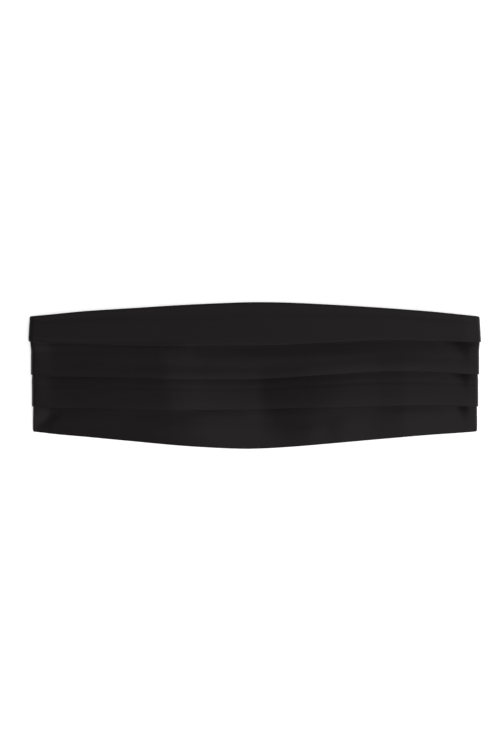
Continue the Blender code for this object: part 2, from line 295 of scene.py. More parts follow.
class ClothSizes(bpy.types.PropertyGroup):
    wall: length_property("Thickness", "Satin and its interfacing together", 0.38 * MM)
    ply_gap: length_property("Ply gap", "Air between the plies of a pleat", 0.1 * MM)
    crown: length_property("Crown", "How much a tier stands up between its pleat and its fold", 0.35 * MM)
    dip: length_property("Dip", "How far the first tier sinks between its hem and its pleat", 0.15 * MM)
    press_line: length_property("Press line", "Step where the hidden pleat ends under tier three", 0.3 * MM)
    droop: length_property("Droop", "How far the bottom edge rolls down", 2.2 * MM)


class BandSizes(bpy.types.PropertyGroup):
    wall: length_property("Thickness", "Thickness of the woven band", 0.95 * MM)
    rib: length_property("Rib spacing", "From one rib of the band to the next", 1.1 * MM)
    rib_height: length_property("Rib height", "How far a rib stands out", 0.07 * MM)


class StitchSizes(bpy.types.PropertyGroup):
    thread: length_property("Thread", "Thickness of the sewing thread", 0.32 * MM)
    stitch: length_property("Stitch", "Length of a machine stitch", 2.2 * MM)
    pitch: length_property("Pitch", "From one machine stitch to the next", 2.8 * MM)
    hem_pitch: length_property("Hem pitch", "From one hemming stitch to the next", 6.5 * MM)


class FinishColours(bpy.types.PropertyGroup):
    satin: colour_property("Satin", "Black polyester satin", "0c080a")
    satin_slub: colour_property("Satin slub", "The paler streaks of the same satin", "100c0e")
    band: colour_property("Band", "Black woven elastic", "121113")
    band_rib: colour_property("Band ribs", "The crowns of its ribs", "1b1a1c")
    thread: colour_property("Thread", "Black spun polyester thread", "161516")
    enamel: colour_property("Enamel", "Black enamel on the hook and the eye", "0c0c0d")
    floor: colour_property("Floor", "Matte white paper", "fafafa")


class StageSettings(bpy.types.PropertyGroup):
    camera_height: length_property("Camera height", "Above the front of the cummerbund", 2.0)
    floor_size: length_property("Floor size", "Width of the paper", 12.0)
    key: strength_property("Key light", "Strength of the main light", 1.95)
    horizon: strength_property("Walls", "Brightness of the studio walls", 1.2)
    zenith: strength_property("Ceiling", "Brightness of its ceiling", 0.34)


class CummerbundSettings(bpy.types.PropertyGroup):
    cloth: PointerProperty(type=ClothSizes, name="Panel", description="Sizes of the pleated panel")
    band: PointerProperty(type=BandSizes, name="Band", description="Sizes of the back band")
    stitches: PointerProperty(type=StitchSizes, name="Stitches", description="Sizes of the sewing")
    colours: PointerProperty(type=FinishColours, name="Colours", description="Colours of every finish")
    stage: PointerProperty(type=StageSettings, name="Stage", description="Floor, lights and camera")


# ---- Helpers -------------------------------------------------------------------------------------


def smooth_step(share):
    share = np.clip(share, 0.0, 1.0)
    return share * share * (3 - 2 * share)


def add_object(name, data, material):
    """A piece of the object, riding on its one body."""
    obj = bpy.data.objects.new(name, data)
    bpy.context.scene.collection.objects.link(obj)
    data.materials.append(material)
    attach(obj, BODY)
    return obj


def add_node(tree, kind, inputs=None, **settings):
    """A node with its settings. inputs gives sockets, by name or number, a value or an output to link."""
    node = tree.nodes.new(kind)
    for name, value in settings.items():
        setattr(node, name, value)
    for name, value in (inputs or {}).items():
        if isinstance(value, bpy.types.NodeSocket):
            tree.links.new(value, node.inputs[name])
        else:
            node.inputs[name].default_value = value
    return node


def new_material(name):
    material = bpy.data.materials.new(name)
    material.use_nodes = True
    material.node_tree.nodes.clear()
    return material, material.node_tree


def rgba(colour):
    return (*colour, 1.0)


def lofted_mesh(name, points, cut_uv):
    """A closed skin through points[ring, place]. A ring goes along one side and back along the other."""
    rings, places, _ = points.shape
    mesh = bpy.data.meshes.new(name)
    index = np.arange(rings * places).reshape(rings, places)
    following = np.roll(index, -1, axis=1)
    sides = np.stack([index[:-1], following[:-1], following[1:], index[1:]], axis=-1).reshape(-1, 4)
    half = places // 2
    near, far = np.arange(half - 1), places - 1 - np.arange(half - 1)
    caps = [
        np.stack([ring[near], ring[near + 1], ring[far - 1], ring[far]], axis=-1)
        for ring in (index[0], index[-1])
    ]
    faces = np.concatenate([sides, *caps])
    mesh.from_pydata(points.reshape(-1, 3).tolist(), [], faces.tolist())
    layer = mesh.uv_layers.new(name="cut")
    corner = np.zeros(len(mesh.loops), np.int32)
    mesh.loops.foreach_get("vertex_index", corner)
    layer.uv.foreach_set("vector", cut_uv.reshape(-1, 2)[corner].astype(np.float32).ravel())
    shape = bmesh.new()
    shape.from_mesh(mesh)
    bmesh.ops.recalc_face_normals(shape, faces=shape.faces)
    shape.to_mesh(mesh)
    shape.free()
    mesh.shade_smooth()
    mesh.set_sharp_from_angle(angle=SHARP_EDGE)
    return mesh


# ---- Shape of the pleated panel ------------------------------------------------------------------


def rows_at(along):
    """The panel's edges and folds at distances along it, on one smooth curve through ROWS."""
    table = np.array(ROWS) * MM
    stops = table[:, 0]
    left = np.clip(np.searchsorted(stops, along, side="right") - 1, 0, len(stops) - 2)
    before, after = np.maximum(left - 1, 0), np.minimum(left + 2, len(stops) - 1)
    span = (stops[left + 1] - stops[left])[:, None]
    share = (along[:, None] - stops[left][:, None]) / span
    slope_in = (table[left + 1] - table[before]) / (stops[left + 1] - stops[before])[:, None] * span
    slope_out = (table[after] - table[left]) / (stops[after] - stops[left])[:, None] * span
    values = (
        (2 * share**3 - 3 * share**2 + 1) * table[left]
        + (share**3 - 2 * share**2 + share) * slope_in
        + (3 * share**2 - 2 * share**3) * table[left + 1]
        + (share**3 - share**2) * slope_out
    )
    return Row(along, *values[:, 1:].T)


def stack_of(sizes):
    """The thickness of a pleat: three plies with air between them."""
    return 3 * sizes.wall + 2 * sizes.ply_gap


class Run:
    """The stations along the panel: where its inner face is, which way is out, how far along the cloth."""

    def __init__(self, stack):
        inner = FRONT_TOP - stack
        nose = HALF_WIDTH + END_SPRING - stack
        rise = (inner - stack) / 2
        roll_x = nose - TURN_REACH
        tuck_x = nose - TUCK_REACH
        zone = roll_x - END_ZONE
        front = np.concatenate([
            np.linspace(0, zone, round(zone / FRONT_STEP), endpoint=False),
            np.linspace(zone, roll_x, round(END_ZONE / END_STEP), endpoint=False),
        ])
        turn = np.linspace(0, math.pi, TURN_STEPS + 1)
        wing = np.linspace(tuck_x, WING_END_X, round((tuck_x - WING_END_X) / WING_STEP))[1:]
        reach = np.where(turn < math.pi / 2, TURN_REACH, TUCK_REACH)
        quarters = turn / math.pi * 2

        def all_along(on_front, in_turn, on_wing):
            """One value on the front, its values round the end fold and one value behind."""
            return np.concatenate([np.full(len(front), on_front), in_turn, np.full(len(wing), on_wing)])

        self.x = np.concatenate([front, nose - reach + reach * np.sin(turn), wing])
        self.z = all_along(inner, stack + rise + rise * np.cos(turn), stack)
        out_x = all_along(0.0, np.sin(turn) / reach, 0.0)
        out_z = all_along(1.0, np.cos(turn) / rise, -1.0)
        size = np.hypot(out_x, out_z)
        self.out_x = out_x / size
        self.out_z = out_z / size
        self.front = all_along(1.0, smooth_step(FRONT_FADE - quarters), 0.0)
        self.behind = all_along(0.0, smooth_step(quarters - 1), 1.0)
        self.from_end = HALF_WIDTH - self.x
        turned = turn / math.pi * TURN_LENGTH
        self.along = np.concatenate([front, roll_x + turned, roll_x + TURN_LENGTH + tuck_x - wing])
        steps = np.hypot(np.diff(self.x), np.diff(self.z))
        self.cloth = np.concatenate([[0.0], np.cumsum(steps)])
        self.mirror()

    def mirror(self):
        """Adds the left half, which runs the other way."""
        for name in ("x", "out_x", "along", "cloth"):
            half = getattr(self, name)
            setattr(self, name, np.concatenate([-half[:0:-1], half]))
        for name in ("z", "out_z", "front", "behind", "from_end"):
            half = getattr(self, name)
            setattr(self, name, np.concatenate([half[:0:-1], half]))


def crest_flank(away, left_reach, right_reach, softness):
    """1 on a crest, falling in a straight line to 0 at its reaches. Its crest and its feet are soft."""
    reach = np.where(away < 0, left_reach, right_reach) * MM
    soft = softness * MM / reach
    flank = 1 + soft - np.sqrt((away / reach) ** 2 + soft**2)
    return (flank + np.sqrt(flank**2 + SOFT_FOOT**2)) / 2


def shares_between(count):
    """This many even shares between 0 and 1, without either."""
    return np.linspace(0, 1, count + 2)[1:-1]


class PleatLine:
    """The middle line of the panel's cloth across it, at all stations, from one hem's end to the other's."""

    def __init__(self, run, sizes):
        self.run = run
        self.front = run.front
        self.pocketed = run.front + POCKET_SHARE_BEHIND * run.behind
        self.sizes = sizes
        self.wall = sizes.wall
        self.ply = sizes.wall + sizes.ply_gap
        # The heights of a pleat's three plies above the inner face
        self.low, self.middle, self.high = (sizes.wall / 2 + n * self.ply for n in range(3))
        self.y = []
        self.height = []
        self.sunk = []
        self.shown = []
        rows = rows_at(run.along)
        self.rows = rows
        self.folds = (rows.fold_1, rows.fold_2, rows.fold_3)
        self.top_hem = rows.top - np.minimum(HEM, HEM_SHARE * (rows.top - rows.fold_1))
        self.bottom_hem = rows.bottom + np.minimum(HEM, HEM_SHARE * (rows.fold_3 - rows.bottom))
        self.lay_top_hem()
        for number in range(len(self.folds)):
            self.lay_tier(number)
        self.lay_last_tier()

    def felt(self, y, above):
        """How far the pockets under this many folds above it sink a ply at y."""
        return sum((self.opening(y, number) for number in range(above)), 0 * y)

    def opening(self, y, fold):
        """How far the pockets under one fold sink the cloth at y."""
        below = np.maximum(self.folds[fold] - y, 0)
        total = 0 * y
        for pocket in POCKETS:
            if pocket.fold == fold:
                away = self.run.x - pocket.centre * MM - pocket.lean * below
                flank = crest_flank(away, pocket.left_reach, pocket.right_reach, pocket.softness)
                total = total + pocket.depth * MM * flank * np.exp(-below / (pocket.fade * MM))
        return total * self.pocketed

    def add(self, y, height, sunk, shown):
        """One point across the panel, at every station. shown says whether its outer side can be seen."""
        self.y.append(y)
        self.height.append(height + 0 * y)
        self.sunk.append(sunk + 0 * y)
        self.shown.append(shown)

    def spread(self, start, end, count, above, shown, height_at):
        """Points between start and end. height_at gives a height for the share of the way."""
        for share in shares_between(count):
            y = start + (end - start) * share
            self.add(y, height_at(share), self.felt(y, above), shown)

    def level(self, start, end, count, above, shown, height):
        """Points between start and end, all at one height."""
        self.spread(start, end, count, above, shown, lambda share: height)

    def turn(self, nose, level_in, level_out, towards, above, count):
        """Cloth turning back on itself, with the outer face of the bend at nose."""
        middle = (level_in + level_out) / 2
        radius = (level_in - level_out) / 2
        centre = nose - towards * (abs(radius) + self.wall / 2)
        for angle in np.linspace(math.pi / 2, -math.pi / 2, count):
            y = centre + towards * abs(radius) * math.cos(angle)
            self.add(y, middle + radius * math.sin(angle), self.felt(nose, above), False)

    def lay_top_hem(self):
        """The hem behind the top edge, and the turn round that edge."""
        top = self.rows.top
        self.add(self.top_hem, self.low, 0.0, False)
        self.level(self.top_hem, top - 2 * self.ply, HEM_POINTS, 0, False, self.low)
        self.turn(top, self.low, self.high, 1, 0, CREASE_POINTS)

    def lay_tier(self, number):
        """A tier's face and the pleat under it, down to where the next tier comes out."""
        fold = self.folds[number]
        start = self.rows.top if number == 0 else self.folds[number - 1]
        inner = fold + np.minimum(PLEAT_DEPTH, PLEAT_SHARES[number] * (start - fold))
        start_height = self.high if number == 0 else self.low
        start = start - (2 * self.ply if number == 0 else EASE)
        step = self.sizes.press_line * self.front if number == PRESSED_TIER else 0.0
        crown = self.sizes.crown * self.front * (number > 0)
        dip = self.sizes.dip * self.front * (number == 0)

        def rising(share):
            height = start_height + (self.high - step - start_height) * (1 - (1 - share) ** RISE_EASE)
            return height - dip * math.sin(math.pi * share) ** 2

        def crowned(share):
            stood_up = crown * math.sin(math.pi * share**CROWN_EASE)
            return self.high + stood_up - step * math.exp(-share / PRESS_SHARE)

        self.spread(start, inner + EASE, RISE_POINTS, number, True, rising)
        self.add(inner + EASE, self.high - step, self.felt(inner + EASE, number), True)
        self.spread(inner + EASE, fold + self.ply, FLAT_POINTS, number, True, crowned)
        self.turn(fold, self.high, self.middle, -1, number, CREASE_POINTS)
        self.level(fold + self.ply, inner - self.ply, HIDDEN_POINTS, number, False, self.middle)
        self.turn(inner, self.middle, self.low, 1, number, TUCK_POINTS)
        for share in shares_between(HIDDEN_POINTS):
            y = inner - self.ply + (fold - inner + self.ply) * share
            sunk = self.felt(y, number) + self.opening(y, number) * smooth_step(share)
            self.add(y, self.low, sunk, False)
        self.add(fold - EASE, self.low, self.felt(fold - EASE, number + 1), True)

    def lay_last_tier(self):
        """The last tier's face, down to the bottom edge, and the hem behind it."""
        bottom = self.rows.bottom
        hem = self.bottom_hem
        above = len(self.folds)

        def rising(share):
            return self.low + self.ply * (1 - (1 - share) ** LAST_EASE)

        self.spread(self.folds[-1] - EASE, hem, RISE_POINTS, above, True, rising)
        self.add(hem, self.middle, self.felt(hem, above), True)
        self.level(hem, bottom + self.ply, HEM_POINTS + 2, above, True, self.middle)
        self.turn(bottom, self.middle, self.low, -1, above, CREASE_POINTS)
        self.level(bottom + self.ply, hem, HEM_POINTS, above, False, self.low)
        self.add(hem, self.low, self.felt(hem, above), False)


def soft_fold_height(folds, x, y):
    """How far the cloth is raised or sunk by its soft creases."""
    total = np.zeros(np.broadcast(x, y).shape)
    for fold in folds:
        down = (fold.head_y * MM - y) / ((fold.head_y - fold.foot_y) * MM)
        crest = (fold.head_x + (fold.foot_x - fold.head_x) * np.clip(down, 0, 1)) * MM
        flank = crest_flank(x - crest, fold.left_reach, fold.right_reach, fold.softness)
        past = np.maximum(np.maximum(y - fold.head_y * MM, fold.foot_y * MM - y), 0)
        total += fold.height * MM * flank * smooth_step(1 - past / (fold.fade * MM))
    return total


def end_inset(rows, y, run):
    """How far a point near the end folds is drawn in, so that the ends lean and their corners are round."""
    distance = np.maximum(run.from_end - TURN_REACH, 0.0)
    inset = TOP_LEAN * np.maximum(y - rows.fold_1, 0)
    for fold, step in zip((rows.fold_1, rows.fold_2, rows.fold_3), TIER_INSETS):
        inset = inset + step * (1 - (1 - np.clip((fold - y) / RISE_ZONE, 0, 1)) ** RISE_EASE)
    lean = inset * smooth_step(1 - distance / LEAN_REACH)
    from_edge = np.maximum(np.minimum(rows.top - y, y - rows.bottom), 0)
    corner = CORNER_INSET * np.maximum(1 - from_edge / CORNER, 0) ** 2
    return lean + corner * smooth_step(1 - distance / CORNER_REACH)


class Panel:
    """The pleated panel's shape, worked out once for its cloth and for its stitches."""

    def __init__(self, sizes):
        self.run = Run(stack_of(sizes))
        self.line = PleatLine(self.run, sizes)
        self.rows = self.line.rows
        self.y = np.array(self.line.y)
        self.height = np.array(self.line.height)
        self.sunk = np.array(self.line.sunk)
        self.sizes = sizes

    def place(self, y, height, sunk):
        """Points of the panel at each station, at y and this far above its inner face."""
        run = self.run
        raised = soft_fold_height(FRONT_FOLDS, run.x, y) * run.front
        lifted = soft_fold_height(WING_FOLDS, run.x, y) * run.behind
        rolled = np.clip(1 - (y - self.rows.bottom) / EDGE_ROLL, 0, 1) ** 2
        rolled = rolled * self.sizes.droop * run.front
        height = height + raised - lifted - rolled - sunk
        x = run.x + run.out_x * height - np.sign(run.x) * end_inset(self.rows, y, run)
        z = run.z + run.out_z * height
        return np.stack([x, y + 0 * x, z], axis=-1)

    def outline(self):
        """Both faces of the cloth: points[place, station], out along one face and back along the other."""
        step_y = np.gradient(self.y, axis=0)
        step_h = np.gradient(self.height - self.sunk, axis=0)
        size = np.hypot(step_y, step_h)
        across_y = -step_h / size
        across_h = step_y / size
        half = self.sizes.wall / 2
        faces = [
            self.place(self.y + side * across_y * half, self.height + side * across_h * half, self.sunk)
            for side in (1, -1)
        ]
        return np.concatenate([faces[0], faces[1][::-1]])

    def outer_face(self, station):
        """Points of the face that shows, from the top edge to the bottom one, at one station."""
        shown = np.array(self.line.shown)
        return self.place(self.y, self.height + self.sizes.wall / 2, self.sunk)[shown, station]

    def cut(self):
        """Distance across the flat cloth at each point, and the whole cut's width, length and area."""
        middle = self.place(self.y, self.height, self.sunk)
        steps = np.linalg.norm(np.diff(middle, axis=0), axis=-1)
        across = np.concatenate([np.zeros((1, steps.shape[1])), np.cumsum(steps, axis=0)])
        widths = across[-1]
        length = self.run.cloth[-1] - self.run.cloth[0]
        area = float((np.diff(self.run.cloth) * (widths[1:] + widths[:-1]) / 2).sum())
        return across, float(widths.max()), float(length), area


# ---- Shape of the band, its fastening and the sewing ---------------------------------------------


def half_turn(centre_x, radius, towards, start_angle):
    """A half circle round a bar, from start_angle (90 above it, -90 below) and bulging towards +-X."""
    angles = np.radians(np.linspace(start_angle, -start_angle, BEND_POINTS))
    x = centre_x + towards * radius * np.cos(angles)
    z = BAR_Z + radius * np.sin(angles)
    return np.stack([x, z], axis=-1)


def ramp(x_start, z_start, x_end, z_end):
    """A soft S from one level to another."""
    share = np.linspace(0, 1, RAMP_POINTS)
    x = x_start + (x_end - x_start) * share
    z = z_start + (z_end - z_start) * smooth_step(share)
    return np.stack([x, z], axis=-1)


def resampled(pieces, step):
    """The same pieces as one line with a point every step, and the distance of each point along it."""
    line = np.concatenate(pieces)
    lengths = np.linalg.norm(np.diff(line, axis=0), axis=1)
    line = line[np.concatenate([[True], lengths > SAME_POINT])]
    distance = np.concatenate([[0.0], np.cumsum(np.linalg.norm(np.diff(line, axis=0), axis=1))])
    stops = np.linspace(0, distance[-1], max(round(distance[-1] / step), 2) + 1)
    x, z = (np.interp(stops, distance, line[:, axis]) for axis in (0, 1))
    return np.stack([x, z], axis=-1), stops


def band_line(seam_x, bar_x, wall, stack):
    """The band's middle line in X and Z: from the panel's end round its bar and back on itself."""
    inwards = math.copysign(1, bar_x - seam_x)
    low = wall / 2
    resting = low + wall + SEAM_GAP
    start = seam_x + inwards * SEAM_GAP
    line = [
        ramp(start, stack / 2, start + inwards * BAND_DROP, low),
        half_turn(bar_x, BAR_Z - low, inwards, -90),
        ramp(bar_x, 2 * BAR_Z - low, bar_x - inwards * BAND_RETURN / 2, resting),
        np.array([[bar_x - inwards * BAND_RETURN, resting]]),
    ]
    return resampled(line, BAND_STEP)


def shares_across(count):
    """Shares across a strip, from -1 at one edge to 1 at the other and closer together at both."""
    return np.sin(np.linspace(-math.pi / 2, math.pi / 2, count))


def rounded_edge(across, fullness, squareness):
    """1 across most of a strip, falling off at both edges."""
    return np.sqrt(np.clip(fullness - across**squareness, EDGE_THINNEST, 1))


def strip_mesh(name, line, distance, across, half_width, half_wall):
    """A flat strip along a line in X and Z, half_wall[place, share across] thick on each side of it."""
    ahead = np.gradient(line, axis=0)
    ahead /= np.linalg.norm(ahead, axis=1)[:, None]
    normal = np.stack([-ahead[:, 1], ahead[:, 0]], axis=-1)
    y = BAND_CENTRE_Y + half_width[:, None] * across
    faces = []
    for side in (1, -1):
        x = line[:, None, 0] + side * normal[:, None, 0] * half_wall
        z = line[:, None, 1] + side * normal[:, None, 1] * half_wall
        faces.append(np.stack([x, y, z], axis=-1))
    points = np.concatenate([faces[0], faces[1][:, ::-1]], axis=1)
    flat = np.stack([np.broadcast_to(distance[:, None], y.shape), y], axis=-1)
    return lofted_mesh(name, points, np.concatenate([flat, flat[:, ::-1]], axis=1))


def band_half_wall(band, distance, across):
    """Half the band's thickness, with ribs across it, a cord along each edge and rounded edges."""
    flatter = 1 - across**8
    ribs = band.rib_height * np.cos(distance / band.rib * 2 * math.pi) * flatter
    cord = band.rib_height * np.exp(-(((np.abs(across) - CORD_PLACE) / CORD_REACH) ** 2))
    edge = rounded_edge(across, fullness=1.04, squareness=20)
    return (band.wall / 2 - band.rib_height + ribs + cord) * edge


def wire_frame(name, x_low, x_high):
    """A rounded rectangle of wire between two bars."""
    curve = bpy.data.curves.new(name, "CURVE")
    curve.dimensions = "3D"
    curve.bevel_depth = WIRE / 2
    curve.bevel_resolution = WIRE_ROUNDNESS
    points = []
    for quarter, (x_side, y_side) in enumerate(((1, 1), (-1, 1), (-1, -1), (1, -1))):
        corner_x = (x_high if x_side > 0 else x_low) - x_side * FRAME_CORNER
        corner_y = BAND_CENTRE_Y + y_side * (FRAME_WIDTH / 2 - FRAME_CORNER)
        for angle in np.radians(90 * quarter + np.linspace(0, 90, CORNER_POINTS)):
            x = corner_x + FRAME_CORNER * math.cos(angle)
            y = corner_y + FRAME_CORNER * math.sin(angle)
            points.append((x, y))
    spline = curve.splines.new("POLY")
    spline.points.add(len(points) - 1)
    for point, (x, y) in zip(spline.points, points):
        point.co = (x, y, BAR_Z, 1.0)
    spline.use_cyclic_u = True
    spline.use_smooth = True
    return curve


def tongue_mesh():
    """The hook's flat tongue: over the eye's bar, round it and back under it, narrower at its tip."""
    clear = WIRE / 2 + SEAM_GAP + TONGUE_WALL / 2
    line = [
        np.array([[HOOK_ROOT_BAR_X + WIRE / 4, BAR_Z]]),
        ramp(HOOK_ROOT_BAR_X - WIRE, BAR_Z, HOOK_ROOT_BAR_X - 4 * WIRE, BAR_Z + clear),
        half_turn(EYE_HOOK_BAR_X, clear, -1, 90),
        np.array([[TONGUE_TIP_X, BAR_Z - clear]]),
    ]
    line, distance = resampled(line, TONGUE_STEP)
    rounded = 1 - np.clip((distance[-1] - distance) / TIP_LENGTH, 0, 1)
    tip = np.sqrt(np.clip(1 - rounded**2, TIP_BLUNTNESS, 1))
    taper = 1 - TONGUE_TAPER * distance / distance[-1]
    half_width = TONGUE_WIDTH / 2 * taper * (1 - TIP_ROUNDING + TIP_ROUNDING * tip)
    across = shares_across(TONGUE_POINTS)
    edge = rounded_edge(across, fullness=1.06, squareness=14)
    half_wall = np.broadcast_to(TONGUE_WALL / 2 * edge, (len(line), len(across)))
    return strip_mesh("hook_tongue", line, distance, across, half_width, half_wall)


def thread_mesh(name, stitches, thickness):
    """Plump stitches, each from one point to another, their ends sunk into the cloth."""
    shape = bmesh.new()
    bmesh.ops.create_uvsphere(
        shape, u_segments=STITCH_SEGMENTS, v_segments=STITCH_RINGS, radius=1.0
    )
    shape.verts.index_update()
    ball = np.array([vert.co for vert in shape.verts])
    # Sorted, because the sphere's faces come in another order each run.
    ball_faces = sorted([vert.index for vert in face.verts] for face in shape.faces)
    shape.free()
    points, faces = [], []
    for number, (start, end) in enumerate(stitches):
        middle, half = (start + end) / 2, (end - start) / 2
        length = np.linalg.norm(half)
        ahead = half / length
        side = np.cross(ahead, OFF_STITCH)
        side /= np.linalg.norm(side)
        other = np.cross(ahead, side)
        axes = np.stack([
            ahead * (length + thickness / 2),
            side * thickness / 2,
            other * thickness / 2,
        ])
        points.append(middle + ball[:, [2, 0, 1]] @ axes)
        faces += [[index + number * len(ball) for index in face] for face in ball_faces]
    mesh = bpy.data.meshes.new(name)
    mesh.from_pydata(np.concatenate(points).tolist(), [], faces)
    mesh.shade_smooth()
    return mesh


def row_of_stitches(start, end, pitch, length):
    """Stitches of this length, one every pitch, along a straight line."""
    count = max(round(np.linalg.norm(end - start) / pitch), 1)
    ahead = (end - start) / np.linalg.norm(end - start)
    centres = start + (end - start) * ((np.arange(count) + 0.5) / count)[:, None]
    return [(centre - ahead * length / 2, centre + ahead * length / 2) for centre in centres]


def hem_stitches(panel, sizes):
    """Hand hemming inside the top and the bottom hem, all along the panel."""
    line = panel.line
    cloth = panel.run.cloth
    made = []
    inside = line.low - panel.sizes.wall / 2
    stops = np.arange(cloth[0] + HEM_CLEAR, cloth[-1] - HEM_CLEAR, sizes.hem_pitch)
    for y, folds_above in ((line.top_hem, 0), (line.bottom_hem, len(line.folds))):
        sunk = line.felt(y, folds_above)
        edge = panel.place(y, inside, sunk)
        deeper = panel.place(y - np.sign(y) * HEM_BITE, inside + line.ply, sunk)
        ends = []
        for points, slant in ((edge, 0.0), (deeper, HEM_SLANT)):
            axes = [np.interp(stops + slant, cloth, points[:, axis]) for axis in range(3)]
            ends.append(np.stack(axes, axis=-1))
        made += list(zip(*ends))
    return made


class FoldedEnd:
    """The outer face of one folded end, near where the cloth stops."""

    def __init__(self, panel, side, proud):
        self.side = side
        self.proud = proud
        self.seam_x = side * WING_END_X
        stations = range(END_STATIONS) if side < 0 else range(-1, -1 - END_STATIONS, -1)
        self.faces = [panel.outer_face(station) for station in stations]
        self.insets = np.array([abs(face[:, 0].mean()) for face in self.faces]) - WING_END_X
        self.top = self.faces[0][0, 1] - SEAM_CLEAR
        self.bottom = self.faces[0][-1, 1] + SEAM_CLEAR

    def point(self, y, inset):
        """The point of the outer face at y, this far in from the end, and as proud of it as a stitch is."""
        heights = [np.interp(y, face[::-1, 1], face[::-1, 2]) for face in self.faces]
        z = np.interp(inset, self.insets, heights) + self.proud
        return np.array([self.seam_x + self.side * inset, y, z])


def end_seam_stitches(panel, sizes):
    """Two rows across each folded end, the overlocked edge beside them, and the zigzag on to the band."""
    made = []
    band_low = BAND_CENTRE_Y - BAND_WIDTH / 2 + MM
    band_high = BAND_CENTRE_Y + BAND_WIDTH / 2 - MM
    for side in (-1, 1):
        end = FoldedEnd(panel, side, sizes.thread * SEAM_PROUD)
        for inset in SEAM_ROWS:
            for y in np.arange(end.bottom, end.top, sizes.pitch):
                made.append((end.point(y, inset), end.point(y + sizes.stitch, inset)))
        for y in np.arange(end.bottom, end.top, EDGING_PITCH):
            made.append((end.point(y, 0.0), end.point(y + EDGING_SLANT, EDGING_REACH)))
        on_band = end.seam_x - side * (SEAM_GAP + ZIGZAG_ON_BAND)
        for number, y in enumerate(np.arange(band_low, band_high, ZIGZAG_PITCH)):
            lean = ZIGZAG_LEAN * (-1) ** number
            far = np.array([on_band, y - lean, ZIGZAG_Z])
            made.append((end.point(y + lean, ZIGZAG_ON_PANEL), far))
    return made


def band_stitches(band, sizes):
    """A crossed box of stitches through each turned-back end of the band, on both of its faces."""
    made = []
    top_z = 2 * band.wall + SEAM_GAP - sizes.thread * BOX_SUNK_ABOVE
    bottom_z = sizes.thread * BOX_SUNK_BELOW
    low_y = BAND_CENTRE_Y - BAND_WIDTH * BOX_SHARE
    high_y = BAND_CENTRE_Y + BAND_WIDTH * BOX_SHARE
    for bar_x, inwards in ((EYE_BAND_BAR_X, 1), (HOOK_BAND_BAR_X, -1)):
        near = bar_x - inwards * BOX_NEAR
        far = bar_x - inwards * BOX_FAR
        corners = [(near, low_y), (near, high_y), (far, high_y), (far, low_y)]
        runs = list(zip(corners, corners[1:] + corners[:1]))
        runs += [(corners[0], corners[2]), (corners[1], corners[3])]
        for z in (top_z, bottom_z):
            for start, end in runs:
                first = np.array([*start, z])
                last = np.array([*end, z])
                made += row_of_stitches(first, last, sizes.pitch, sizes.stitch)
    return made


# ---- Materials -----------------------------------------------------------------------------------


def cloth_pattern(tree, length, width, detail):
    """Noise laid over the flat cloth, its spots this long along the piece and this wide across it."""
    cut = add_node(tree, "ShaderNodeUVMap", uv_map="cut").outputs["UV"]
    scale = (1 / length, 1 / width, 1.0)
    scaled = add_node(tree, "ShaderNodeMapping", {"Vector": cut, "Scale": scale}).outputs["Vector"]
    noise = add_node(tree, "ShaderNodeTexNoise", {"Vector": scaled, "Scale": 1.0, "Detail": detail})
    return noise.outputs["Fac"]


def satin_material(colours):
    """Polyester satin, woven warp-faced and calendered.

    Its long floats run along the panel, so its shine is drawn out across them: it is quick to change as the
    cloth turns along its length and slow across the pleats. A faint slub runs with the floats.
    """
    material, tree = new_material("black polyester satin, warp-faced")
    # The floats are 0.1 mm apart, too fine to show. They are drawn 0.5 mm apart and 4 mm long.
    floats = cloth_pattern(tree, 4 * MM, 0.5 * MM, 2.0)
    slub = cloth_pattern(tree, 55 * MM, 6 * MM, 3.0)
    colour = add_node(tree, "ShaderNodeMix", {
        MIX_FACTOR: slub,
        MIX_A: rgba(colours.satin),
        MIX_B: rgba(colours.satin_slub),
    }, data_type="RGBA")
    rough = add_node(tree, "ShaderNodeMapRange", {
        "Value": slub,
        "From Min": 0.3,
        "From Max": 0.7,
        "To Min": 0.33,
        "To Max": 0.37,
    })
    bump = add_node(tree, "ShaderNodeBump", {"Height": floats, "Strength": 0.25, "Distance": 0.02 * MM})
    tangent = add_node(tree, "ShaderNodeTangent", direction_type="UV_MAP", uv_map="cut")
    shader = add_node(tree, "ShaderNodeBsdfPrincipled", {
        "Base Color": colour.outputs[MIX_RESULT],
        "Roughness": rough.outputs["Result"],
        "IOR": 1.5,
        "Specular IOR Level": 0.13,
        "Anisotropic": 0.7,
        "Anisotropic Rotation": 0.25,
        "Tangent": tangent.outputs["Tangent"],
        "Sheen Weight": 0.03,
        "Sheen Roughness": 0.35,
        "Normal": bump.outputs["Normal"],
    })
    add_node(tree, "ShaderNodeOutputMaterial", {"Surface": shader.outputs["BSDF"]})
    return material


def band_material(colours, rib):
    """Woven elastic, its matte ribs standing across it; the crowns of the ribs are rubbed a little paler."""
    material, tree = new_material("black elastic webbing, woven")
    yarns = cloth_pattern(tree, rib / 2, 0.25 * MM, 3.0)
    colour = add_node(tree, "ShaderNodeMix", {
        MIX_FACTOR: yarns,
        MIX_A: rgba(colours.band),
        MIX_B: rgba(colours.band_rib),
    }, data_type="RGBA")
    bump = add_node(tree, "ShaderNodeBump", {"Height": yarns, "Strength": 0.5, "Distance": 0.06 * MM})
    shader = add_node(tree, "ShaderNodeBsdfPrincipled", {
        "Base Color": colour.outputs[MIX_RESULT],
        "Roughness": 0.78,
        "Specular IOR Level": 0.35,
        "Sheen Weight": 0.12,
        "Sheen Roughness": 0.5,
        "Normal": bump.outputs["Normal"],
    })
    add_node(tree, "ShaderNodeOutputMaterial", {"Surface": shader.outputs["BSDF"]})
    return material


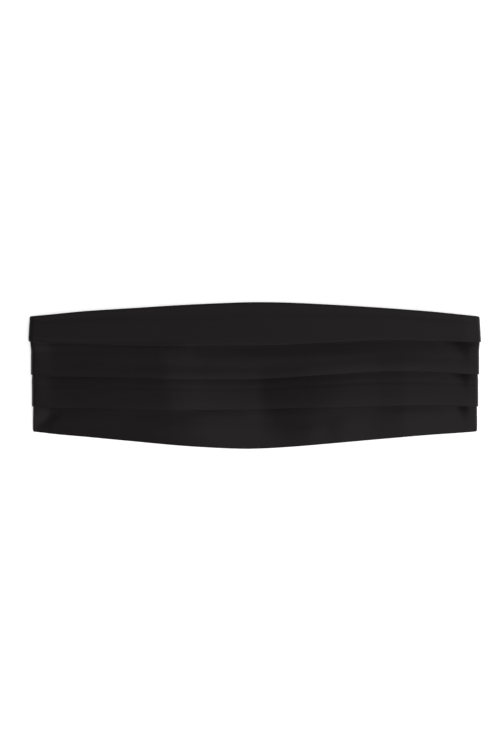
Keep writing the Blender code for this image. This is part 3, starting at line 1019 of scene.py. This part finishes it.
def grained_material(name, grain, strength, depth, inputs):
    """One colour with a fine grain, its swellings this far apart. Also gives the grain and the shader."""
    material, tree = new_material(name)
    place = add_node(tree, "ShaderNodeTexCoord").outputs["Object"]
    noise = add_node(tree, "ShaderNodeTexNoise", {"Vector": place, "Scale": 1 / grain, "Detail": 2.0})
    height = noise.outputs["Fac"]
    bump = add_node(tree, "ShaderNodeBump", {"Height": height, "Strength": strength, "Distance": depth})
    shader = add_node(tree, "ShaderNodeBsdfPrincipled", {**inputs, "Normal": bump.outputs["Normal"]})
    add_node(tree, "ShaderNodeOutputMaterial", {"Surface": shader.outputs["BSDF"]})
    return material, height, shader


def thread_material(colours):
    """Spun polyester thread: matte, with a twist that breaks its small highlight up."""
    return grained_material("black polyester thread, spun", 0.4 * MM, 0.6, 0.04 * MM, {
        "Base Color": rgba(colours.thread),
        "Roughness": 0.6,
        "Sheen Weight": 0.1,
    })[0]


def enamel_material(colours):
    """Steel wire dipped in black enamel: glossy, with the slight unevenness of a dipped coat."""
    name = "black enamel on steel wire, dipped"
    inputs = {"Base Color": rgba(colours.enamel)}
    material, coat, shader = grained_material(name, 3 * MM, 0.15, 0.05 * MM, inputs)
    tree = material.node_tree
    rough = add_node(tree, "ShaderNodeMapRange", {"Value": coat, "To Min": 0.22, "To Max": 0.36})
    tree.links.new(rough.outputs["Result"], shader.inputs["Roughness"])
    return material


def paper_material(colours):
    """Matte white paper on a light table, whose glow takes the edge off the shadows."""
    return grained_material("white background paper, matte", 2 * MM, 0.1, 0.02 * MM, {
        "Base Color": rgba(colours.floor),
        "Roughness": 0.95,
        "Emission Color": WHITE,
        "Emission Strength": 0.4,
    })[0]


# ---- Operators -----------------------------------------------------------------------------------


class CUMMERBUND_OT_pleated_panel(bpy.types.Operator):
    """Lay the pleated satin panel, with both of its ends folded behind it"""

    bl_idname = "cummerbund.pleated_panel"
    bl_label = "Pleated panel"

    def execute(self, context):
        settings = context.scene.cummerbund
        panel = Panel(settings.cloth)
        across, width, length, area = panel.cut()
        rings = panel.outline().transpose(1, 0, 2)
        along = np.broadcast_to(panel.run.cloth[None, :], across.shape)
        one_face = np.stack([along, across], axis=-1)
        cut_uv = np.concatenate([one_face, one_face[::-1]]).transpose(1, 0, 2)
        mesh = lofted_mesh("satin_panel", rings, cut_uv)
        cloth = add_object("satin_panel", mesh, satin_material(settings.colours))
        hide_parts("pleated_panel")
        return {"FINISHED"}


class CUMMERBUND_OT_back_band(bpy.types.Operator):
    """Weave both halves of the back band, each turned back round its fitting"""

    bl_idname = "cummerbund.back_band"
    bl_label = "Back band"

    def execute(self, context):
        settings = context.scene.cummerbund
        band = settings.band
        cloth = settings.cloth
        stack = stack_of(cloth)
        material = band_material(settings.colours, band.rib)
        across = shares_across(BAND_POINTS)
        halves = (
            ("woven_band_left", "back_band_left", -WING_END_X, EYE_BAND_BAR_X),
            ("woven_band_right", "back_band_right", WING_END_X, HOOK_BAND_BAR_X),
        )
        for name, node, seam_x, bar_x in halves:
            line, distance = band_line(seam_x, bar_x, band.wall, stack)
            half_width = np.full(len(line), BAND_WIDTH / 2)
            half_wall = band_half_wall(band, distance[:, None], across)
            mesh = strip_mesh(name, line, distance, across, half_width, half_wall)
            piece = add_object(name, mesh, material)
            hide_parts(node)
        return {"FINISHED"}


class CUMMERBUND_OT_fastening(bpy.types.Operator):
    """Bend the wire eye and hook, with the hook's tongue over the eye's bar"""

    bl_idname = "cummerbund.fastening"
    bl_label = "Hook and eye"

    def execute(self, context):
        material = enamel_material(context.scene.cummerbund.colours)
        pieces = (
            (wire_frame("wire_eye", EYE_BAND_BAR_X, EYE_HOOK_BAR_X), "band_eye"),
            (wire_frame("wire_hook", HOOK_ROOT_BAR_X, HOOK_BAND_BAR_X), "band_hook"),
            (tongue_mesh(), "band_hook"),
        )
        for data, node in pieces:
            piece = add_object(data.name, data, material)
            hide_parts(node)
        return {"FINISHED"}


class CUMMERBUND_OT_stitching(bpy.types.Operator):
    """Sew the hems, the folded ends and the band's loops"""

    bl_idname = "cummerbund.stitching"
    bl_label = "Stitching"

    def execute(self, context):
        settings = context.scene.cummerbund
        panel = Panel(settings.cloth)
        material = thread_material(settings.colours)
        sewing = {
            "hem_stitches": hem_stitches(panel, settings.stitches),
            "end_seam_stitches": end_seam_stitches(panel, settings.stitches),
            "band_stitches": band_stitches(settings.band, settings.stitches),
        }
        for name, stitches in sewing.items():
            mesh = thread_mesh(name, stitches, settings.stitches.thread)
            add_object(name, mesh, material)
        return {"FINISHED"}


class CUMMERBUND_OT_stage(bpy.types.Operator):
    """Roll out the paper, set the lights and point the camera straight down, as in the photograph"""

    bl_idname = "cummerbund.stage"
    bl_label = "Stage"

    def execute(self, context):
        scene = context.scene
        stage = scene.cummerbund.stage
        mesh = bpy.data.meshes.new("floor")
        shape = bmesh.new()
        bmesh.ops.create_grid(shape, x_segments=1, y_segments=1, size=stage.floor_size / 2)
        shape.to_mesh(mesh)
        shape.free()
        floor = bpy.data.objects.new("floor", mesh)
        floor.location.z = -FLOOR_DROP
        scene.collection.objects.link(floor)
        mesh.materials.append(paper_material(scene.cummerbund.colours))
        self.light_studio(scene, stage)
        self.add_camera(scene, stage)
        scene.view_settings.view_transform = "Standard"
        return {"FINISHED"}

    def light_studio(self, scene, stage):
        """One large soft key, high on the right, between pale walls and under a darker ceiling."""
        key = bpy.data.lights.new("key_light", "SUN")
        key.energy = stage.key
        key.angle = KEY_DISC
        lamp = bpy.data.objects.new("key_light", key)
        towards = Vector((math.tan(KEY_TO_RIGHT), -math.tan(KEY_TO_FRONT), 1.0)).normalized()
        lamp.rotation_mode = "QUATERNION"
        lamp.rotation_quaternion = towards.to_track_quat("Z", "Y")
        scene.collection.objects.link(lamp)
        world = bpy.data.worlds.new("studio")
        world.use_nodes = True
        tree = world.node_tree
        tree.nodes.clear()
        direction = add_node(tree, "ShaderNodeTexCoord").outputs["Generated"]
        height = add_node(tree, "ShaderNodeSeparateXYZ", {"Vector": direction}).outputs["Z"]
        light = add_node(tree, "ShaderNodeMapRange", {
            "Value": height,
            "From Min": WALL_TOP,
            "From Max": CEILING_EDGE,
            "To Min": stage.horizon,
            "To Max": stage.zenith,
        }, interpolation_type="SMOOTHSTEP")
        sky = add_node(tree, "ShaderNodeBackground", {"Color": WHITE, "Strength": light.outputs["Result"]})
        add_node(tree, "ShaderNodeOutputWorld", {"Surface": sky.outputs["Background"]})
        scene.world = world

    def add_camera(self, scene, stage):
        data = bpy.data.cameras.new("camera")
        data.sensor_width = SENSOR_WIDTH
        data.lens = SENSOR_WIDTH * stage.camera_height / (IMAGE_HEIGHT_PX * MM_PER_PX * MM)
        camera = bpy.data.objects.new("camera", data)
        camera.location = (*VIEW_CENTRE, FRONT_TOP + stage.camera_height)
        scene.collection.objects.link(camera)
        scene.camera = camera


class VIEW3D_PT_cummerbund(bpy.types.Panel):
    bl_label = "Cummerbund"
    bl_space_type = "VIEW_3D"
    bl_region_type = "UI"
    bl_category = "Cummerbund"

    def draw(self, context):
        settings = context.scene.cummerbund
        for part in ("cloth", "band", "stitches", "colours", "stage"):
            group = getattr(settings, part)
            box = self.layout.box()
            box.label(text=settings.bl_rna.properties[part].name)
            for name in group.__annotations__:
                box.prop(group, name)
        for operator in OPERATORS:
            self.layout.operator(operator.bl_idname)


GROUPS = (ClothSizes, BandSizes, StitchSizes, FinishColours, StageSettings, CummerbundSettings)
OPERATORS = (
    CUMMERBUND_OT_pleated_panel,
    CUMMERBUND_OT_back_band,
    CUMMERBUND_OT_fastening,
    CUMMERBUND_OT_stitching,
    CUMMERBUND_OT_stage,
)


def register():
    for cls in (*GROUPS, *OPERATORS, VIEW3D_PT_cummerbund):
        bpy.utils.register_class(cls)
    bpy.types.Scene.cummerbund = PointerProperty(type=CummerbundSettings)


def unregister():
    del bpy.types.Scene.cummerbund
    for cls in reversed((*GROUPS, *OPERATORS, VIEW3D_PT_cummerbund)):
        bpy.utils.unregister_class(cls)


def main():
    register()
    bpy.ops.cummerbund.pleated_panel()
    bpy.ops.cummerbund.back_band()
    bpy.ops.cummerbund.fastening()
    bpy.ops.cummerbund.stitching()
    bpy.ops.cummerbund.stage()


if __name__ == "__main__":
    main()
